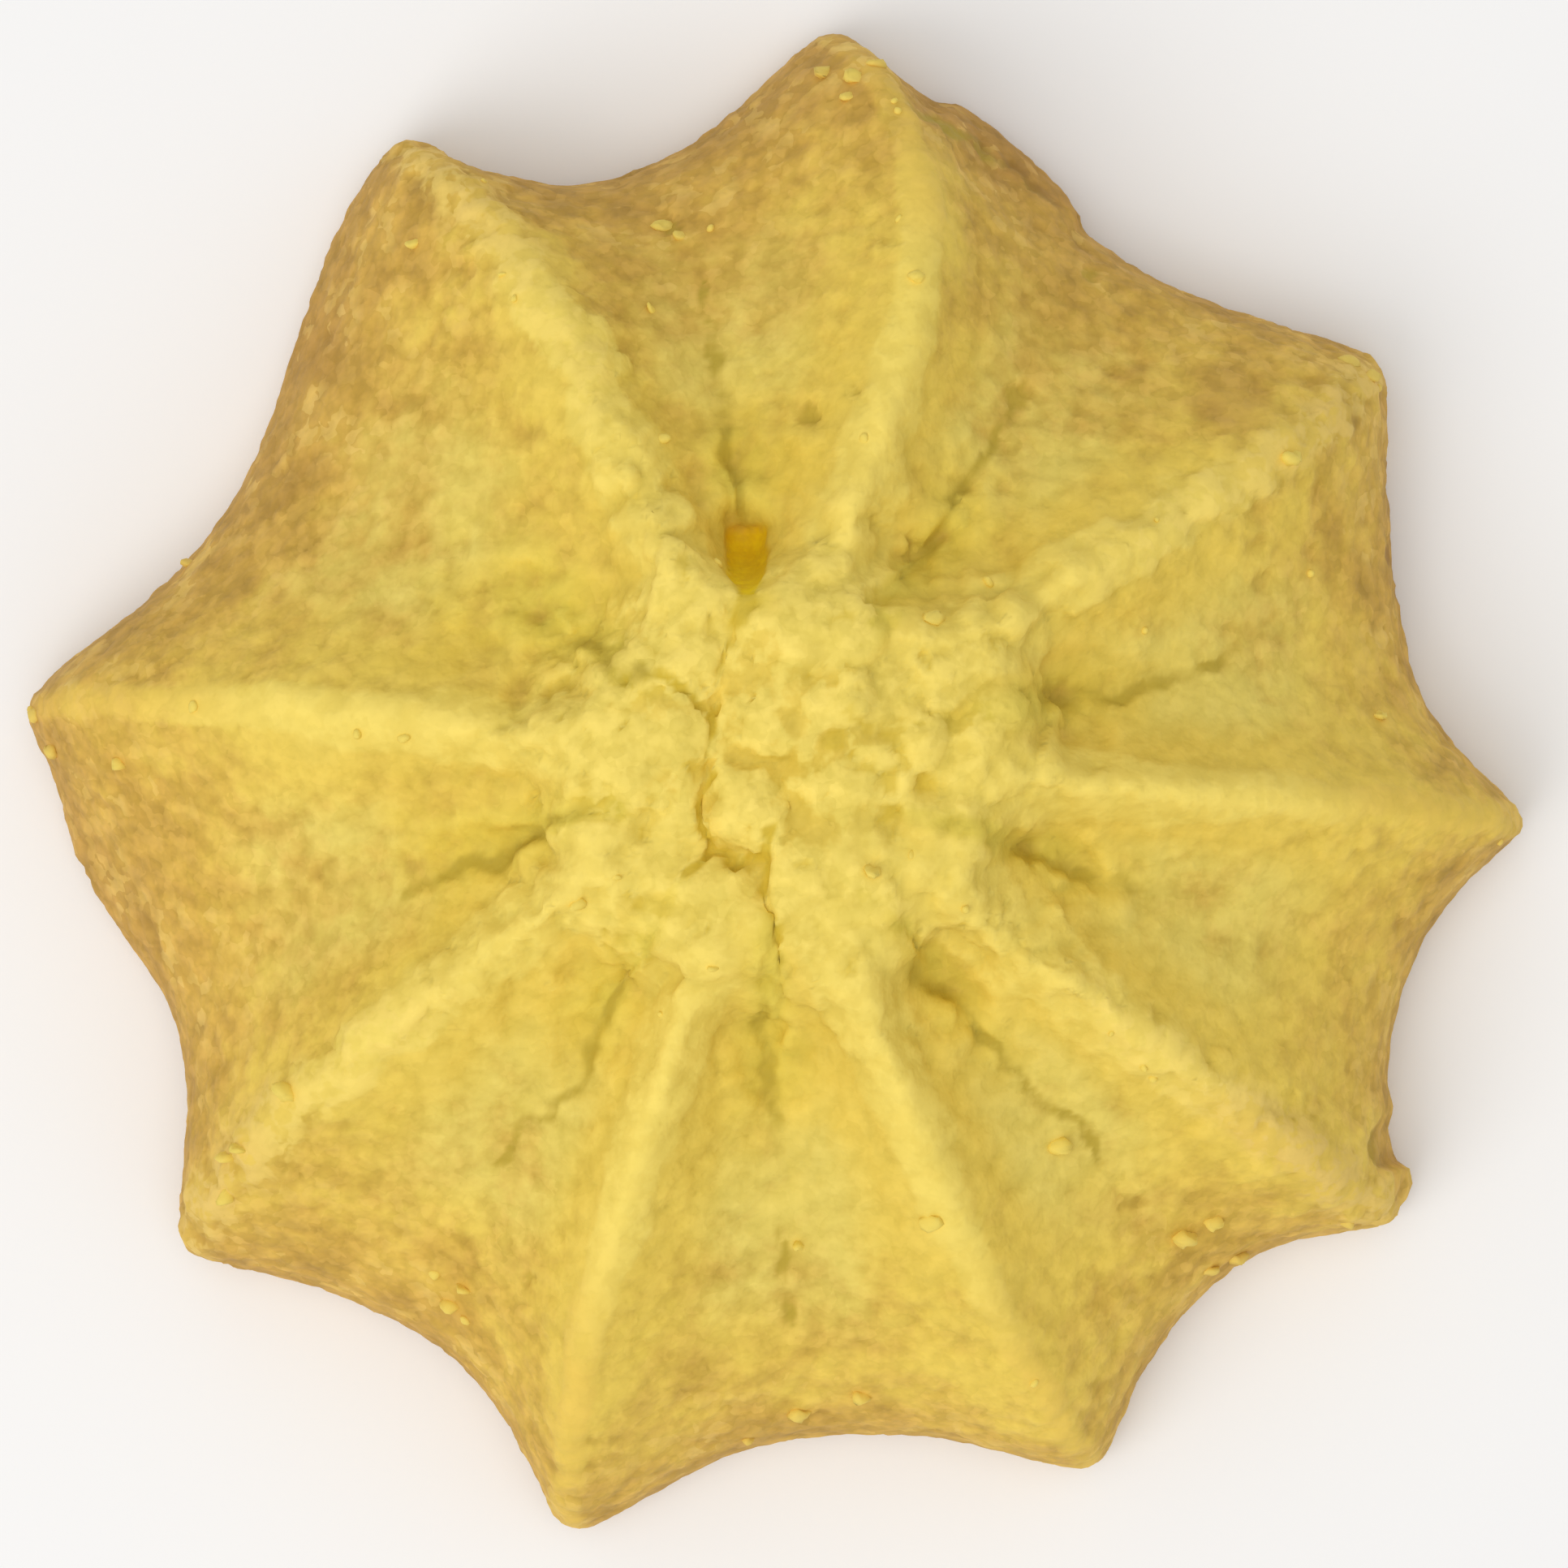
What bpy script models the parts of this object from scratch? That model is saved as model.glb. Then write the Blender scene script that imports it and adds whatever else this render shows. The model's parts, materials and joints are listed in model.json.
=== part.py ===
"""A piped butter cookie: one drop of dough from a star nozzle, baked in one piece.

Metres, +Z up. The cookie rests on its flat base at z = 0, and the middle of its outline is over the origin.
Nine sharp ridges run from their tips at the rim up to a torn, lumpy crown, where the nozzle was pulled away.
A hollow valley with a fine crease lies between each pair of ridges.
Bearings are in degrees, anticlockwise from +X, round the crown.
"""

import math

import bmesh
import bpy
from mathutils import Vector, noise

MM = 0.001

# The dome
DOME_HEIGHT = 14.0 * MM
RIM_HEIGHT = 1.3 * MM
DOME_POWER = 1.9
TIP_HOOK_POWER = 5.0

# The foot, below the widest level of the rim
FOOT_SETBACKS = ((0.45 * MM, 0.12 * MM), (0.0, 0.75 * MM))

# The valleys
VALLEY_POWER = 2.4
SCALLOP_POWER = 2.9
VALLEY_DROP = 2.0 * MM
VALLEY_WALL = 1.6 * MM
CREST_ROUNDNESS = 0.13
CREASE_DEPTH = 0.35 * MM
CREASE_SHARE = 0.1

# One row for each ridge and the valley that follows it anticlockwise:
# ridge bearing at the crown and at the tip, ridge reach, valley bearing at the crown and at the rim,
# valley reach, and how far from the crown's middle the valley opens. Reaches are in millimetres.
FLUTES = (
    (30.5, 33.0, 20.3, 53.0, 58.0, 17.1, 4.6),
    (70.5, 85.0, 20.4, 96.0, 105.0, 16.8, 4.3),
    (114.5, 121.3, 20.1, 146.5, 152.0, 16.5, 4.1),
    (173.5, 175.8, 20.6, 197.0, 201.0, 17.9, 4.6),
    (215.0, 220.0, 21.1, 237.0, 239.0, 18.6, 5.0),
    (252.0, 255.8, 22.0, 271.0, 275.0, 18.8, 5.2),
    (292.5, 295.0, 21.6, 309.0, 311.0, 19.1, 5.0),
    (324.0, 323.6, 21.5, 342.0, 341.0, 18.8, 5.6),
    (356.0, 355.5, 21.1, 372.0, 370.0, 18.1, 6.2),
)

# Dough that spread out under a valley: bearing, half width in degrees, extra reach, height of its top
FOOT_LOBES = (
    (69.0, 9.0, 0.9 * MM, 3.4 * MM),
    (19.0, 8.5, 1.35 * MM, 3.0 * MM),
    (135.0, 11.0, 0.5 * MM, 3.0 * MM),
    (190.0, 8.5, 0.9 * MM, 3.2 * MM),
    (328.0, 3.0, 0.7 * MM, 4.2 * MM),
)

# Torn lumps of the crown, in millimetres from its middle: x, y, radius, height above the torn floor
CROWN_LUMPS = (
    (1.6, 2.2, 3.1, 0.9),
    (0.3, 3.8, 1.8, 0.7),
    (4.9, 3.2, 2.3, 0.9),
    (3.4, 0.6, 2.2, 0.7),
    (5.8, 0.6, 2.2, 0.6),
    (-3.6, 0.6, 2.8, 0.8),
    (1.6, -3.0, 2.5, 0.8),
    (-4.2, -2.9, 2.5, 0.6),
    (-1.3, -4.2, 1.8, 0.7),
    (2.7, -5.4, 2.0, 0.6),
    (-0.5, -1.2, 1.3, 0.8),
    (2.0, -0.7, 1.9, 0.7),
    (-2.1, 3.0, 1.6, 0.7),
    (-2.4, 5.0, 2.0, 0.7),
    (4.4, -2.4, 2.1, 0.6),
)
LUMP_POWER = 0.7
TORN_FLOOR_DROP = 0.15 * MM
TORN_FLOOR_RADIUS = 5.5 * MM

# Cracks between the lumps: their routes in millimetres from the crown's middle
CRACKS = (
    ((-0.4, 4.3), (-1.2, 3.0), (-1.2, 1.7), (-1.5, 0.6), (-1.6, -0.9), (-1.3, -2.3), (0.0, -2.5), (0.0, -3.6)),
    ((-3.1, 2.3), (-2.2, 1.7), (-1.5, 1.3)),
    ((0.0, -3.6), (0.6, -5.0)),
)
CRACK_WIDTH = 0.28 * MM
CRACK_DEPTH = 0.4 * MM

# The deep hole beside the crown, in the valley that faces +Y
HOLE_CENTRE = (-0.6 * MM, 5.55 * MM)
HOLE_RADII = (0.6 * MM, 0.95 * MM)
HOLE_DEPTH = 1.2 * MM

# Unevenness of the baked dough
TEAR_HEIGHT = 0.3 * MM
TEAR_SIZE = 1.5 * MM
SWELL_HEIGHT = 0.3 * MM
SWELL_SIZE = 6.0 * MM
CROWN_RADIUS = 6.5 * MM

# The mesh
STEPS_PER_FLANK = 6
DOME_RINGS = 50
BASE_RINGS = 3
RING_POWER = 1.3
FLANK_POWER = 1.5

CRUST_COLOUR = (0.66, 0.46, 0.12, 1.0)
CRUST_ROUGHNESS = 0.85


def smooth_step(low, high, value):
    """0 below low and 1 above high, with a smooth rise between them."""
    share = min(1.0, max(0.0, (value - low) / (high - low)))
    return share * share * (3.0 - 2.0 * share)


def blend(start, end, share):
    return start + (end - start) * share


def line_bearing(at_crown, at_rim, share):
    """Bearing of a ridge or valley: straight from the crown, then hooking towards its end at the rim."""
    return blend(at_crown, at_rim, share**TIP_HOOK_POWER)


def flank_lines(column):
    """The ridge and the valley that bound a column of the mesh, and the column's place between them.

    The place is 0 in the valley and 1 on the ridge, and columns stand closer together near the ridge.
    """
    flute, step = divmod(column, 2 * STEPS_PER_FLANK)
    crown_bearing, tip_bearing, tip_reach = FLUTES[flute][:3]
    valley = FLUTES[flute][3:]
    if step > STEPS_PER_FLANK:
        following = FLUTES[(flute + 1) % len(FLUTES)]
        turn = 360.0 if flute + 1 == len(FLUTES) else 0.0
        crown_bearing, tip_bearing, tip_reach = following[0] + turn, following[1] + turn, following[2]
    from_ridge = step if step <= STEPS_PER_FLANK else 2 * STEPS_PER_FLANK - step
    place = 1.0 - (from_ridge / STEPS_PER_FLANK) ** FLANK_POWER
    return (crown_bearing, tip_bearing, tip_reach), valley, place


def rounded_place(place):
    """The place between valley and ridge, eased so that the ridge's edge is rounded and not a knife edge."""
    off_ridge = math.hypot(1.0 - place, CREST_ROUNDNESS) - CREST_ROUNDNESS
    return 1.0 - off_ridge


def dome_height(share):
    """Height of the dome over its rim, as a share of the whole, at that share of the reach."""
    return math.sqrt(max(0.0, 1.0 - share**DOME_POWER))


def distance_to_route(point, route):
    """Shortest distance in plan from a point to a route of straight pieces, given in millimetres."""
    nearest = math.inf
    for start, end in zip(route, route[1:]):
        a = Vector(start) * MM
        along = Vector(end) * MM - a
        share = (point - a).dot(along) / along.length_squared
        nearest = min(nearest, (point - a - along * min(1.0, max(0.0, share))).length)
    return nearest


def crown_relief(point):
    """Height that the crown's torn lumps add at a point in plan, less its cracks and its deep hole."""
    rise = 0.0
    for x, y, radius, height in CROWN_LUMPS:
        off = (point - Vector((x, y)) * MM).length / (radius * MM)
        if off < 1.0:
            rise = max(rise, height * MM * (1.0 - off * off) ** LUMP_POWER)
    rise -= TORN_FLOOR_DROP * (1.0 - smooth_step(0.6 * TORN_FLOOR_RADIUS, 1.3 * TORN_FLOOR_RADIUS, point.length))
    cut = 0.0
    for route in CRACKS:
        off = distance_to_route(point, route) / CRACK_WIDTH
        cut = max(cut, CRACK_DEPTH * math.exp(-off * off))
    across = (point.x - HOLE_CENTRE[0]) / HOLE_RADII[0]
    along = (point.y - HOLE_CENTRE[1]) / HOLE_RADII[1]
    hole = HOLE_DEPTH * math.exp(-((across * across + along * along) ** 2))
    return rise - cut - hole


def tear_relief(point, size, seed):
    """Uneven relief between -1 and 1, from noise of that size."""
    return noise.noise(Vector((point.x / size, point.y / size, seed)))


def dome_point(column, share):
    """Point of the top surface in a column, at that share of the way from the crown to the rim."""
    (crown_bearing, tip_bearing, tip_reach), valley, place = flank_lines(column)
    valley_crown, valley_rim, valley_reach, valley_start = valley
    eased = max(0.0, rounded_place(place))
    depth_share = eased**VALLEY_POWER

    ridge_bearing = line_bearing(crown_bearing, tip_bearing, share)
    valley_bearing = line_bearing(valley_crown, valley_rim, share)
    bearing = math.radians(blend(valley_bearing, ridge_bearing, place))
    radius = blend(valley_reach, tip_reach, eased**SCALLOP_POWER) * MM * share

    opened = smooth_step(0.0, VALLEY_WALL, valley_reach * MM * share - valley_start * MM)
    crease = CREASE_DEPTH * opened * max(0.0, 1.0 - place / CREASE_SHARE)
    valley_height = DOME_HEIGHT - RIM_HEIGHT - VALLEY_DROP * opened - crease
    height = RIM_HEIGHT + blend(valley_height, DOME_HEIGHT - RIM_HEIGHT, depth_share) * dome_height(share)
    for lobe_bearing, half_width, extra, top in FOOT_LOBES:
        off = (math.degrees(bearing) - lobe_bearing) / half_width
        if abs(off) < 1.0:
            radius += extra * (1.0 - off * off) * (1.0 - smooth_step(top - RIM_HEIGHT, top, height))

    plan = Vector((math.cos(bearing), math.sin(bearing))) * radius
    at_crown = 1.0 - smooth_step(0.7 * CROWN_RADIUS, 1.3 * CROWN_RADIUS, radius)
    fade = smooth_step(0.0, RIM_HEIGHT, height - RIM_HEIGHT)
    height += crown_relief(plan)
    height += fade * SWELL_HEIGHT * tear_relief(plan, SWELL_SIZE, 3.0)
    height += fade * TEAR_HEIGHT * max(at_crown, place**6) * tear_relief(plan, TEAR_SIZE, 7.0)
    return Vector((plan.x, plan.y, height))


def cookie_point(column, ring):
    """Point of the whole skin: the dome's rings, then the foot's, then the flat base."""
    if ring <= DOME_RINGS:
        return dome_point(column, (ring / DOME_RINGS) ** RING_POWER)
    rim = dome_point(column, 1.0)
    foot_ring = ring - DOME_RINGS - 1
    if foot_ring < len(FOOT_SETBACKS):
        height, setback = FOOT_SETBACKS[foot_ring]
        plan = rim.xy * (1.0 - setback / rim.xy.length)
        return Vector((plan.x, plan.y, height))
    return Vector((0.0, 0.0, 0.0))


def shape_skin(mesh):
    """Moves a ball's vertices, ring by ring from its top pole, onto the cookie's skin."""
    rings = DOME_RINGS + BASE_RINGS
    columns = 2 * STEPS_PER_FLANK * len(FLUTES)
    for vertex in mesh.verts:
        polar = math.acos(max(-1.0, min(1.0, vertex.co.normalized().z)))
        column = round(math.atan2(vertex.co.y, vertex.co.x) / math.tau * columns) % columns
        vertex.co = cookie_point(column, round(polar / math.pi * rings))


def centre_on_origin(mesh):
    """Puts the middle of the outline over the origin, and leaves the base at z = 0."""
    for axis in (0, 1):
        places = [vertex.co[axis] for vertex in mesh.verts]
        middle = (min(places) + max(places)) / 2
        for vertex in mesh.verts:
            vertex.co[axis] -= middle


def crust_material():
    material = bpy.data.materials.new("baked_butter_dough")
    material.use_nodes = True
    shader = material.node_tree.nodes["Principled BSDF"]
    shader.inputs["Base Color"].default_value = CRUST_COLOUR
    shader.inputs["Roughness"].default_value = CRUST_ROUGHNESS
    shader.inputs["Metallic"].default_value = 0.0
    return material


def make_cookie(collection):
    """The cookie: a ball primitive reshaped into the fluted drop, with a single flat face underneath."""
    skin = bmesh.new()
    bmesh.ops.create_uvsphere(
        skin,
        u_segments=2 * STEPS_PER_FLANK * len(FLUTES),
        v_segments=DOME_RINGS + BASE_RINGS,
        radius=1.0,
    )
    shape_skin(skin)
    centre_on_origin(skin)
    underneath = [face for face in skin.faces if max(corner.co.z for corner in face.verts) == 0.0]
    bmesh.ops.dissolve_faces(skin, faces=underneath)
    mesh = bpy.data.meshes.new("butter_cookie")
    skin.to_mesh(mesh)
    skin.free()
    mesh.shade_smooth()
    mesh.materials.append(crust_material())
    cookie = bpy.data.objects.new("butter_cookie", mesh)
    collection.objects.link(cookie)
    return cookie


def main():
    for leftover in list(bpy.data.objects):
        bpy.data.objects.remove(leftover)
    collection = bpy.data.collections.new("piped_butter_cookie")
    bpy.context.scene.collection.children.link(collection)
    make_cookie(collection)


main()
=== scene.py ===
"""The looks of a piped butter cookie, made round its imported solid.

Metres, +Z up, in the solid's own frame. The solid gives the form: the dome, ridges, valleys, crown, cracks
and hole. This script refines a copy of its skin, gives it crumb, creases and cracks, adds the crumbs that
cling to it, and sets the baked dough's finish, the floor, the light and the camera.
"""

import json
import math
from types import SimpleNamespace

import bmesh
import bpy
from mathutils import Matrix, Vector, noise
from mathutils.bvhtree import BVHTree

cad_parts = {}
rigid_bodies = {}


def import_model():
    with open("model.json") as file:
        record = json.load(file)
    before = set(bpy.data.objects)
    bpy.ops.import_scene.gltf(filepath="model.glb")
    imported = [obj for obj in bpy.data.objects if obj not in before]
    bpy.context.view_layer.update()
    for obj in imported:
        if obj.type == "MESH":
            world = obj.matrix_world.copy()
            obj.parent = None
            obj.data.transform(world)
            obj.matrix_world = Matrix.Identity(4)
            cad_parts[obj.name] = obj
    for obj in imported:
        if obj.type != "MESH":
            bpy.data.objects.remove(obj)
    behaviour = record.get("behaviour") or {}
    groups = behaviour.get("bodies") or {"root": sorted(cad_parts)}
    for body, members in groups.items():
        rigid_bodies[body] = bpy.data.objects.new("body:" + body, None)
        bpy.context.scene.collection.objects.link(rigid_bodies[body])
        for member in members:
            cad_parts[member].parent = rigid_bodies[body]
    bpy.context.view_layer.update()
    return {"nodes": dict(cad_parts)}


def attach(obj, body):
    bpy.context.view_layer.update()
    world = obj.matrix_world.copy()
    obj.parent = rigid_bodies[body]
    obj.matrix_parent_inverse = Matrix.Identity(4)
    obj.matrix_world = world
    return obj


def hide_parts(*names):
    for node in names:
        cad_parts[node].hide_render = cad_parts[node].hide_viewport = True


MM = 0.001

# The photograph's frame, in metres on the plane of the cookie's rim
FRAME_WIDTH = 43.47 * MM
FRAME_MIDDLE = (0.25 * MM, -0.08 * MM)
RIM_PLANE = 1.5 * MM
LENS = 200.0
SENSOR = 36.0

# The crown's middle, which the ridges and valleys run out from
CROWN_MIDDLE = (-0.25 * MM, 0.5 * MM)

# One row for each ridge: its bearing at the crown and at its tip, its reach, and whether its edge is ragged
RIDGES = (
    (30.5, 33.0, 20.3, True),
    (70.5, 85.0, 20.4, False),
    (114.5, 121.3, 20.1, True),
    (173.5, 175.8, 20.6, False),
    (215.0, 220.0, 21.1, True),
    (252.0, 255.8, 22.0, False),
    (292.5, 295.0, 21.6, False),
    (324.0, 323.6, 21.5, True),
    (356.0, 355.5, 21.1, False),
)
RIDGE_START = 3.5
RIDGE_STEPS = 60

# A ridge or a valley turns towards its bearing at the rim only near its end
TIP_HOOK_POWER = 5.0

# One row for each valley: its bearing at the crown and at the rim
VALLEYS = (
    (53.0, 58.0),
    (96.0, 105.0),
    (146.5, 152.0),
    (197.0, 201.0),
    (237.0, 239.0),
    (271.0, 275.0),
    (309.0, 311.0),
    (342.0, 341.0),
    (372.0, 370.0),
)
VALLEY_START = 4.0
VALLEY_REACH = 18.0
VALLEY_END = 21.0
VALLEY_STEPS = 50

# Creases in the valleys, in millimetres from the crown's middle
CREASES = (
    ((6.9, 10.4), (6.7, 9.6), (6.0, 8.2), (5.2, 7.3), (4.7, 6.5), (4.3, 5.5)),
    ((-1.7, 12.9), (-1.5, 10.9), (-1.1, 9.3), (-0.9, 7.9), (-0.6, 6.4)),
    ((-6.6, 4.0), (-5.7, 3.5), (-4.2, 2.6), (-3.0, 2.0)),
    ((-9.7, -3.6), (-9.2, -3.1), (-7.2, -2.6), (-6.2, -2.3), (-4.6, -1.3)),
    ((-7.3, -10.7), (-5.4, -9.0), (-4.9, -8.4), (-4.3, -6.9), (-3.7, -6.1)),
    ((0.0, -6.1), (0.0, -7.0), (0.1, -8.5), (0.3, -9.7)),
    ((0.5, -12.7), (0.5, -14.6), (0.7, -15.5)),
    ((3.6, -5.3), (4.9, -6.3), (6.0, -7.4), (7.0, -8.7), (7.6, -9.2), (8.6, -9.8), (9.0, -10.8)),
    ((6.7, -2.4), (7.6, -2.8), (9.6, -3.2), (10.4, -3.7)),
    ((12.8, 2.9), (11.9, 2.5), (9.9, 1.9), (8.9, 1.7), (7.4, 1.7)),
)

# Cracks between the crown's lumps, in millimetres from its middle
CRACKS = (
    (
        (-0.5, 4.3),
        (-0.9, 3.4),
        (-1.25, 3.0),
        (-1.2, 1.8),
        (-1.5, 0.6),
        (-1.3, -0.2),
        (-1.65, -0.9),
        (-1.7, -1.5),
        (-1.45, -2.2),
        (-1.2, -2.4),
        (0.0, -2.5),
        (-0.05, -3.5),
        (0.4, -4.1),
        (0.6, -5.0),
    ),
    ((-3.1, 2.3), (-2.5, 2.15), (-2.2, 1.65), (-1.5, 1.4)),
    ((-1.2, -2.4), (-2.0, -2.9)),
    ((0.25, -1.5), (0.0, -2.5)),
)

# Folds where dough of the foot stands out from under a valley, in millimetres from the crown's middle
FOOT_FOLDS = (
    ((3.9, 17.9), (5.5, 17.0), (6.9, 16.1), (8.2, 14.85)),
    ((17.2, 8.4), (17.5, 6.4), (17.4, 4.6)),
)

# Places where the foot is baked brown. Each row has x and y in millimetres from the crown's middle, the
# radius, and how brown it is
BROWNED_SPOTS = (
    (5.0, 18.0, 1.0, 0.8),
    (6.0, 17.5, 1.2, 0.9),
    (7.0, 16.8, 1.3, 0.9),
    (8.0, 16.0, 1.1, 0.8),
    (17.9, 6.6, 0.8, 0.7),
    (12.6, 9.9, 1.3, 0.5),
    (-12.4, 11.6, 1.4, 0.5),
)

# Small dents in the skin. Each row has x and y in millimetres from the crown's middle, the radius, and the
# depth, which is negative for a knob
DENTS = (
    (1.2, 9.3, 0.35, 0.16),
    (2.4, 9.9, 0.2, 0.12),
    (6.8, 9.9, 0.45, 0.14),
    (8.9, 13.4, 0.3, 0.14),
    (-6.9, 1.0, 0.3, 0.1),
    (-0.1, -6.5, 0.25, 0.12),
    (5.6, -6.4, 0.6, 0.08),
    (13.4, 5.0, 0.2, 0.12),
    (-2.6, 14.6, 0.3, 0.14),
    (-6.4, -13.9, 0.25, 0.12),
    (1.8, 0.5, 0.4, 0.18),
    (3.3, -0.5, 0.35, 0.18),
    (3.2, -1.4, 0.35, 0.16),
    (4.3, -0.6, 0.4, 0.16),
    (2.7, -0.2, 0.25, 0.12),
    (17.3, -10.5, 0.8, 0.3),
    (17.4, -11.9, 0.9, -0.25),
    (5.6, 17.5, 1.1, -0.28),
    (6.5, 17.0, 1.1, -0.28),
    (7.3, 16.4, 1.1, -0.28),
    (8.0, 15.7, 1.1, -0.28),
    (-0.5, 6.8, 0.6, -0.2),
    (0.3, -4.4, 0.45, 0.16),
    (0.45, -5.0, 0.45, 0.16),
)

# Outline of the deep hole beside the crown, in millimetres from the crown's middle
HOLE_OUTLINE = ((-0.86, 6.1), (-0.84, 5.0), (-0.55, 4.45), (-0.35, 4.45), (-0.12, 5.2), (-0.08, 6.15))

# Loose crumbs that stand out on the cookie: x and y in millimetres from the crown's middle, and their size
CRUMB_SPOTS = (
    (1.6, 18.9, 0.7),
    (2.4, 18.7, 0.8),
    (3.0, 19.1, 0.6),
    (2.2, 18.1, 0.5),
    (16.0, 11.0, 0.7),
    (16.6, 10.6, 0.6),
    (14.1, 8.2, 0.75),
    (16.7, 1.3, 0.6),
    (-2.8, 14.6, 0.7),
    (-2.3, 14.3, 0.5),
    (4.4, 3.8, 0.7),
    (-12.9, -8.8, 0.9),
    (-14.2, -10.4, 0.7),
    (-14.6, -10.7, 0.6),
    (-8.6, -14.8, 0.7),
    (-8.2, -14.3, 0.5),
    (7.9, -10.3, 0.8),
    (11.4, -12.9, 0.9),
    (12.2, -12.5, 0.7),
    (13.0, -13.6, 0.8),
    (12.2, -13.9, 0.6),
    (0.9, -17.8, 0.8),
    (2.6, -17.3, 0.7),
    (-0.5, -18.6, 0.5),
    (-15.9, 5.5, 0.5),
    (2.8, -2.9, 0.6),
)

# How fine the skin is, and the level below which it is laid flat as the base
SKIN_VOXEL = 0.19 * MM
SKIN_ROUNDING = 2
BASE_LEVEL = 0.06 * MM

# How the guide lines wander: how far aside and over what length in millimetres, and from which seed, which
# for a crest is its bearing. Cracks and creases are divided finely first
GUIDE_SPACING = 0.2 * MM
CREST_WANDER = (0.25, 1.8)
CREASE_WANDER = (0.35, 0.7, 2.0)
CRACK_WANDER = (0.35, 0.6, 5.0)

# The table lies a little lower, clear of the base
TABLE_LEVEL = -0.03 * MM
TABLE_HALF_WIDTH = 1.0

# Crumb is a little drawn out up the slopes, so the place that its pattern is read at is squeezed in height
GRAIN_DRAW = (1.0, 1.0, 0.75)

# The relief's sizes, in millimetres, and the seed of its patterns
RELIEF = {
    "Grain size": 0.55,
    "Grain height": 0.064,
    "Unevenness": 0.16,
    "Lump size": 1.1,
    "Lump height": 0.2,
    "Block height": 0.24,
    "Crest width": 0.9,
    "Crest height": 0.05,
    "Nick depth": 0.13,
    "Hollow depth": 0.14,
    "Valley fill": 0.3,
    "Crease width": 0.19,
    "Crease depth": 0.08,
    "Crack width": 0.15,
    "Crack depth": 0.27,
    "Crack fill": 0.3,
    "Crack fill width": 0.36,
    "Hole depth": 0.15,
    "Crown radius": 5.0,
    "Foot height": 0.9,
    "Seed": 11.0,
}

# How many rounds of blur give the skin that a spot stands proud of
PROUD_BLUR = 12

# The marks that the relief leaves on the body for its finish
MARKS = (
    "crest",
    "shoulder",
    "across",
    "crease",
    "crack",
    "crown",
    "hole",
    "baked",
    "ragged",
    "proud",
)

# How much the dough shines, and which way in plan it is baked browner, per millimetre
DOUGH_SHINE = 0.3
BROWNER_SIDE = (-0.08, 0.07, 0.0)

# The loose crumbs' density, their diameters in millimetres, and the seed of their places
CRUMBS = {
    "Crumbs per square millimetre": 0.5,
    "Smallest": 0.25,
    "Largest": 0.6,
    "Seed": 4,
}

# The seeds of the crumbs' sizes, turns and proportions, how far those go, and how dented the crumbs are
SIZE_SEED = 3
TURN_SEED = 5
STRETCH_SEED = 7
LEAST_STRETCH = (0.75, 0.65, 0.4)
MOST_STRETCH = (1.3, 1.05, 0.8)
CRUMB_DENT = 0.6 * MM

# Each lamp's name, place, size, power and colour
LAMPS = (
    ("soft_key", (-0.26, -0.24, 0.46), 0.40, 0.85, (1.0, 0.98, 0.95)),
    ("overhead_fill", (-0.05, -0.05, 0.60), 0.50, 0.92, (1.0, 1.0, 1.0)),
)
SKY_STRENGTH = 0.55

# How the nodes are laid out in the node editor
NODES_IN_A_ROW = 12
NODE_WIDTH = 200
NODE_HEIGHT = 240


def linear(red, green, blue):
    """A colour given in display values from 0 to 255, as the linear values that a shader takes."""
    channels = []
    for value in (red, green, blue):
        share = value / 255
        channels.append(share / 12.92 if share <= 0.04045 else ((share + 0.055) / 1.055) ** 2.4)
    return (*channels, 1.0)


# The dough's colours, first given, and then adjusted until the crown, crests, valleys and rim of a
# render had nearly the mean colours of those zones of the photograph
# Along the crests this cream and this gold are partly the paler dough and partly painted highlight
CREST_CREAM = linear(242, 216, 102)
CREST_GOLD = linear(231, 196, 84)
FLANK_GOLD = linear(235, 204, 87)
VALLEY_STRAW = linear(231, 208, 101)
HOLLOW_YELLOW = linear(230, 206, 83)
RIM_GOLD = linear(218, 175, 76)
RIM_TAN = linear(202, 157, 74)
BAKED_BROWN = linear(190, 144, 66)
FLECK_CREAM = linear(228, 194, 100)
CLUMP_GOLD = linear(242, 214, 104)
WARM_GOLD = linear(226, 193, 68)
# Painted shade at the valleys' heads
HEAD_SHADE_OLIVE = linear(212, 188, 70)
# Painted shade in the creases, the dents on the slopes and the foot's folds, olive higher up and brown low
# down
CREASE_SHADE_OLIVE = linear(184, 159, 50)
CREASE_SHADE_BROWN = linear(160, 118, 52)
# Painted shade in the cracks and in the crown's hollows and dents
CRACK_SHADE_OCHRE = linear(212, 182, 50)
# Painted glow in the hole, as light through the dough, and the painted shadow mixed into it
HOLE_GLOW_GOLD = linear(246, 214, 12)
HOLE_SHADOW = linear(232, 194, 10)
CRUMB_GOLD = linear(231, 198, 96)


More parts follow.
